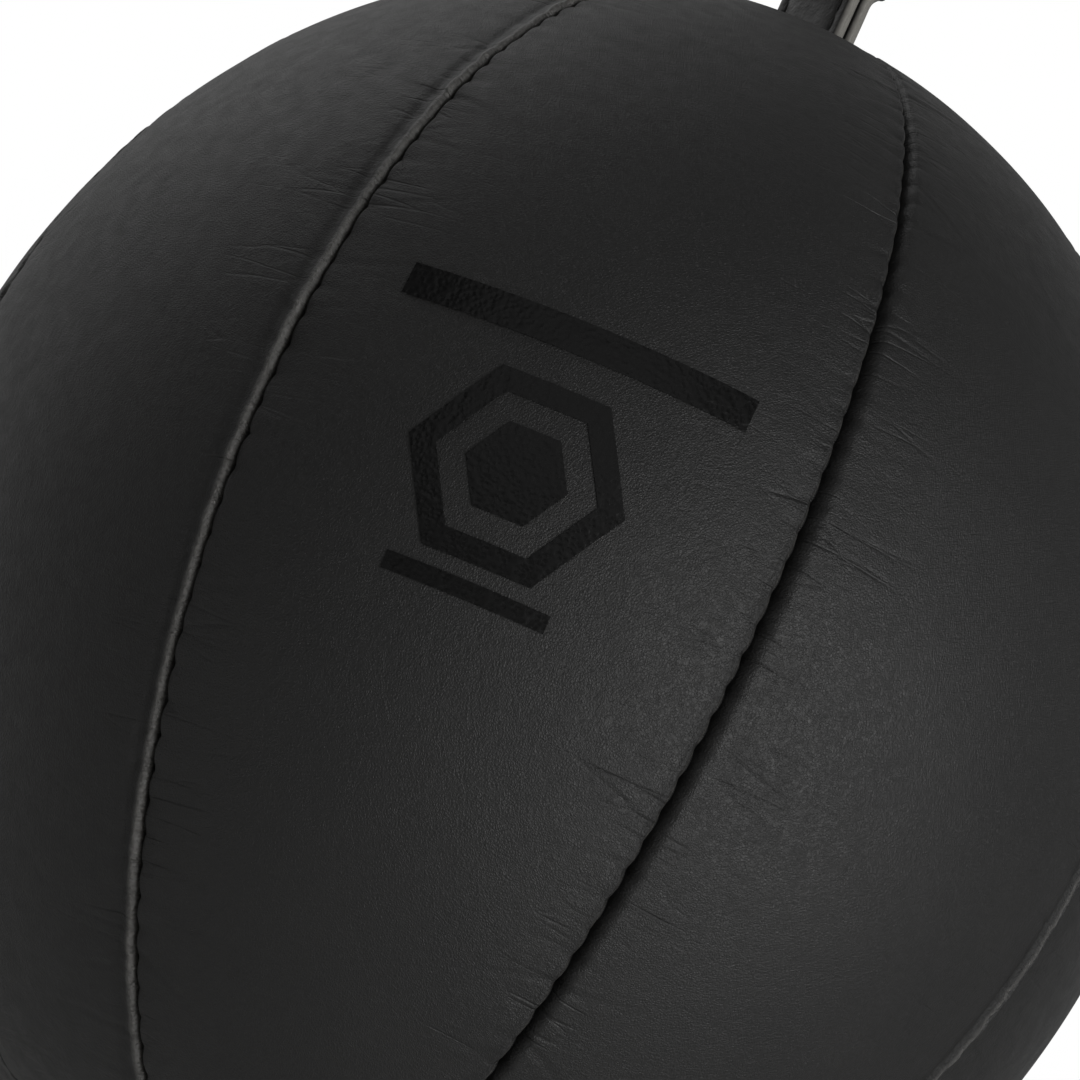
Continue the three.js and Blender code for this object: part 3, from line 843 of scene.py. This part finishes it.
def build_strap(end, leather):
    line, normal, length = strap_run()
    profile = strap_profile()
    unevenness = 0.05 * smooth_noise(length / 9, np.zeros_like(length), 51)
    across = profile[None, :, 0] * (1 + 0.006 * smooth_noise(length / 14, np.ones_like(length), 52))[:, None]
    height = profile[None, :, 1] + unevenness[:, None]
    y = line[:, None, 0] + normal[:, None, 0] * height
    z = line[:, None, 1] + normal[:, None, 1] * height
    points = end_place(np.stack([across, y, z], -1), end)
    if end == "bottom":
        points = points * (-1, 1, 1)
    quads, ends = ring_faces(len(line), len(profile))
    strap = mesh_object(f"{end}_strap", points.reshape(-1, 3), quads, leather, loose_faces=ends)
    place = np.zeros((len(line), len(profile), 3))
    place[:, :, 0] = profile[None, :, 0] + 3 * np.sign(profile[None, :, 1])
    place[:, :, 1] = length[:, None]
    place[:, :, 2] = profile[None, :, 2]
    set_attribute(strap, "strap", place)
    bend_at_hinge(strap)
    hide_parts(f"{end}_loop", f"{end}_loop_root")


def build_strap_stitching(end, thread):
    """Rows of stitches in the grooves of the outer and the inner face, from the pole over the crown."""
    line, normal, length = strap_run()
    visible = length[line[:, 1] > -2.5]
    corners, rows = 8, 9
    groove = STRAP_WIDTH / 2 - GROOVE_INSET
    arch = np.sin(np.linspace(0, math.pi, rows))
    points, quads, ends, strand = [], [], [], []
    for first in np.arange(visible.min(), visible.max() - STRAP_STITCH, STRAP_STITCH):
        along = first + np.linspace(0.25, STRAP_STITCH - 0.55, rows)
        for face in (-1, 1):
            height = face * (STRAP_THICKNESS / 2 - 0.38 + 0.30 * arch ** 0.6)
            y = np.interp(along, length, line[:, 0]) + height * np.interp(along, length, normal[:, 0])
            z = np.interp(along, length, line[:, 1]) + height * np.interp(along, length, normal[:, 1])
            for across in (-groove, groove):
                path = np.stack([np.full(rows, across), y, z], -1)
                ring, caps = ring_faces(rows, corners, offset=len(points) * rows * corners)
                quads.append(ring)
                ends += caps
                thickness = 0.27 * (0.35 + 0.65 * arch)
                points.append(tube_points(path, thickness, corners, up=np.array([1.0, 0, 0])))
                strand.append(np.repeat(along, corners))
    placed = end_place(np.concatenate(points), end)
    stitches = mesh_object(
        f"{end}_strap_stitching", placed, np.concatenate(quads), thread, loose_faces=ends
    )
    turn = np.tile(np.arange(corners) / corners, len(points) * rows)
    set_attribute(stitches, "strand", np.stack([turn, np.concatenate(strand), np.zeros(len(turn))], -1))
    bend_at_hinge(stitches)


# ---------- print ----------
def patch_grid(a, b, c, d, step=0.45):
    """A four-sided patch (a to b along one side, d to c along the other) as a grid of points and faces."""
    a, b, c, d = (np.array(p, float) for p in (a, b, c, d))
    nu = max(1, int(np.ceil(max(np.linalg.norm(b - a), np.linalg.norm(c - d)) / step)))
    nv = max(1, int(np.ceil(max(np.linalg.norm(d - a), np.linalg.norm(c - b)) / step)))
    u, v = np.meshgrid(np.linspace(0, 1, nu + 1), np.linspace(0, 1, nv + 1), indexing="ij")
    u, v = u[..., None], v[..., None]
    points = (1 - u) * (1 - v) * a + u * (1 - v) * b + u * v * c + (1 - u) * v * d
    i = (np.arange(nu)[:, None] * (nv + 1) + np.arange(nv)[None, :]).ravel()
    return points.reshape(-1, 2), np.stack([i, i + nv + 1, i + nv + 2, i + 1], -1)


def polygon(sides, radius, turn):
    angle = turn + np.arange(sides) * 2 * math.pi / sides
    return np.stack([radius * np.sin(angle), radius * np.cos(angle)], -1)


def emblem_patches():
    """A plain sign of no maker: a six-sided ring round a six-sided spot, between a bar and a shorter bar."""
    centre = np.array([0, -5.5])
    rings = ((16.0, 12.0), (7.5, 0.05))  # outer and inner radius
    bars = ((16.3, 26, 2.6), (-23, 12, 1.3))  # place along the panel, half length and half height
    patches = []
    for outer_radius, inner_radius in rings:
        outer = polygon(6, outer_radius, math.pi / 6) + centre
        inner = polygon(6, inner_radius, math.pi / 6) + centre
        for i in range(6):
            j = (i + 1) % 6
            patches.append((inner[i], inner[j], outer[j], outer[i]))
    for middle, half_length, half_height in bars:
        low, high = middle - half_height, middle + half_height
        patches.append(((-half_length, low), (half_length, low), (half_length, high), (-half_length, high)))
    return patches


def build_emblem(material):
    """A film of glossy print that lies on the front panel's leather."""
    raised = 0.2
    points, faces, count = [], [], 0
    for patch in emblem_patches():
        grid, quads = patch_grid(*patch)
        points.append(grid)
        faces.append(quads + count)
        count += len(grid)
    across, along = np.concatenate(points).T
    radius, _, _ = MERIDIAN.at(along)
    half_width = radius * math.pi / PANELS
    left, right = half_width + across, half_width - across
    column = along[:, None]
    relief = hide_relief(column, left[:, None], right[:, None], 0)[:, 0]
    outside = on_ball(along, FRONT + across / radius, relief + raised)
    film = mesh_object("front_emblem", outside, np.concatenate(faces), material)
    set_attribute(film, "hide", np.stack([across, along, seam_distance_for_wear_and_highlight(left, right, 0)], -1))
    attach(film, "ball")


# ---------- parts kept from the CAD model ----------
def dress(nodes, material):
    for name in nodes:
        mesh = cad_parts[name].data
        mesh.materials.clear()
        mesh.materials.append(material)


def dress_inner_parts():
    dress([f"lining_{i + 1}" for i in range(PANELS)], woven_lining())
    dress(["bladder"], rubber("bladder_rubber", 0.012, 0.03))
    dress(["valve_housing"], rubber("valve_rubber", 0.02, 0.045))
    dress(["valve_core"], rubber("valve_core_rubber", 0.05, 0.09))
    dress(["tongue", "top_bladder_patch", "bottom_bladder_patch"], split_leather())


# ---------- camera, lights and floor ----------
CAMERA_AZIMUTH = FRONT + math.radians(6.8)
CAMERA_ELEVATION = math.radians(-15.4)
CAMERA_LEAN = math.radians(24.4)
CAMERA_DISTANCE = 7 * EQUATOR * MM
FOCAL_MM = 148.8
AIM = (0.0074, 0.1028)  # where the frame's centre is from the ball's centre, in frame widths
LIGHTS = (  # name, direction (the camera's right, up and towards), distance, size and power
    ("key", (0.66, -0.10, 0.74), 1.3, 0.9, 10.8),
    ("top", (-0.30, 0.85, -0.45), 1.5, 1.2, 3.6),
    ("left", (-0.90, 0.10, -0.40), 1.5, 1.2, 2.0),
    ("fill", (0.10, 0.66, 0.75), 1.8, 1.4, 1.8),
)


def camera_axes():
    """Right, up and towards the camera, for a camera that looks at the ball with its head tilted."""
    towards = Vector((
        math.sin(CAMERA_AZIMUTH) * math.cos(CAMERA_ELEVATION),
        -math.cos(CAMERA_AZIMUTH) * math.cos(CAMERA_ELEVATION),
        math.sin(CAMERA_ELEVATION),
    ))
    right = Vector((math.cos(CAMERA_AZIMUTH), math.sin(CAMERA_AZIMUTH), 0))
    up = towards.cross(right)
    tilted_right = math.cos(CAMERA_LEAN) * right + math.sin(CAMERA_LEAN) * up
    tilted_up = math.cos(CAMERA_LEAN) * up - math.sin(CAMERA_LEAN) * right
    return tilted_right, tilted_up, towards


def build_camera():
    right, up, towards = camera_axes()
    data = bpy.data.cameras.new("camera")
    data.lens = FOCAL_MM
    data.sensor_width = 36
    camera = bpy.data.objects.new("camera", data)
    bpy.context.scene.collection.objects.link(camera)
    position = towards * CAMERA_DISTANCE
    width_at_ball = CAMERA_DISTANCE * data.sensor_width / data.lens
    target = (right * AIM[0] + up * AIM[1]) * width_at_ball
    back = (position - target).normalized()
    side = up.cross(back).normalized()
    over = back.cross(side)
    camera.matrix_world = Matrix.Translation(position) @ Matrix((side, over, back)).transposed().to_4x4()
    bpy.context.scene.camera = camera


def add_light(name, direction, distance, size, power):
    """A soft square light. Its direction is in the camera's right, up and towards."""
    right, up, towards = camera_axes()
    away = (right * direction[0] + up * direction[1] + towards * direction[2]).normalized()
    data = bpy.data.lights.new(name, "AREA")
    data.shape = "SQUARE"
    data.size = size
    data.energy = power
    light = bpy.data.objects.new(name, data)
    light.location = away * distance
    light.rotation_euler = away.to_track_quat("Z", "Y").to_euler()
    bpy.context.scene.collection.objects.link(light)


def build_world():
    """A white studio. The ball gets this light mostly from behind, as from a bright backdrop."""
    world = bpy.data.worlds.new("studio")
    bpy.context.scene.world = world
    world.use_nodes = True
    nodes, links = world.node_tree.nodes, world.node_tree.links
    direction = nodes.new("ShaderNodeTexCoord").outputs["Generated"]
    behind = nodes.new("ShaderNodeVectorMath")
    behind.operation = "DOT_PRODUCT"
    behind.inputs[1].default_value = -camera_axes()[2]
    links.new(direction, behind.inputs[0])
    glow = nodes.new("ShaderNodeMapRange")
    for socket, value in (("From Min", -0.3), ("From Max", 0.9), ("To Min", 0.035), ("To Max", 0.30)):
        glow.inputs[socket].default_value = value
    links.new(behind.outputs["Value"], glow.inputs["Value"])
    path = nodes.new("ShaderNodeLightPath")
    mix = nodes.new("ShaderNodeMix")
    mix.data_type = "RGBA"
    mix.inputs["B"].default_value = (1, 1, 1, 1)
    links.new(glow.outputs["Result"], mix.inputs["A"])
    links.new(path.outputs["Is Camera Ray"], mix.inputs["Factor"])
    links.new(mix.outputs["Result"], nodes["Background"].inputs["Color"])


def build_floor():
    """A plain pale floor, well below the ball."""
    size, low = 8.0, -0.46
    corners = [(-size, -size, low), (size, -size, low), (size, size, low), (-size, size, low)]
    shader = Shader("studio_floor", Roughness=0.9)
    shader.colour(shader.noise(shader.position(3), detail=3), (0.76, 0.76, 0.75), (0.82, 0.82, 0.81))
    floor = mesh_object("studio_floor", np.array(corners), [[0, 1, 2, 3]], shader.material, smooth=False)


build_camera()
build_world()
build_floor()
for light_values in LIGHTS:
    add_light(*light_values)
bpy.context.scene.view_settings.view_transform = "Standard"

PANEL_MATERIAL = panel_leather()
THREAD_MATERIAL = thread_material("seam_thread")
STRAP_MATERIAL = strap_leather()
for index in range(PANELS):
    build_panel(index, PANEL_MATERIAL)
build_seam_threads(THREAD_MATERIAL)
build_lace(braid_material())
build_emblem(print_material())
for loop_end in ("top", "bottom"):
    build_strap(loop_end, STRAP_MATERIAL)
    build_strap_stitching(loop_end, THREAD_MATERIAL)
dress_inner_parts()
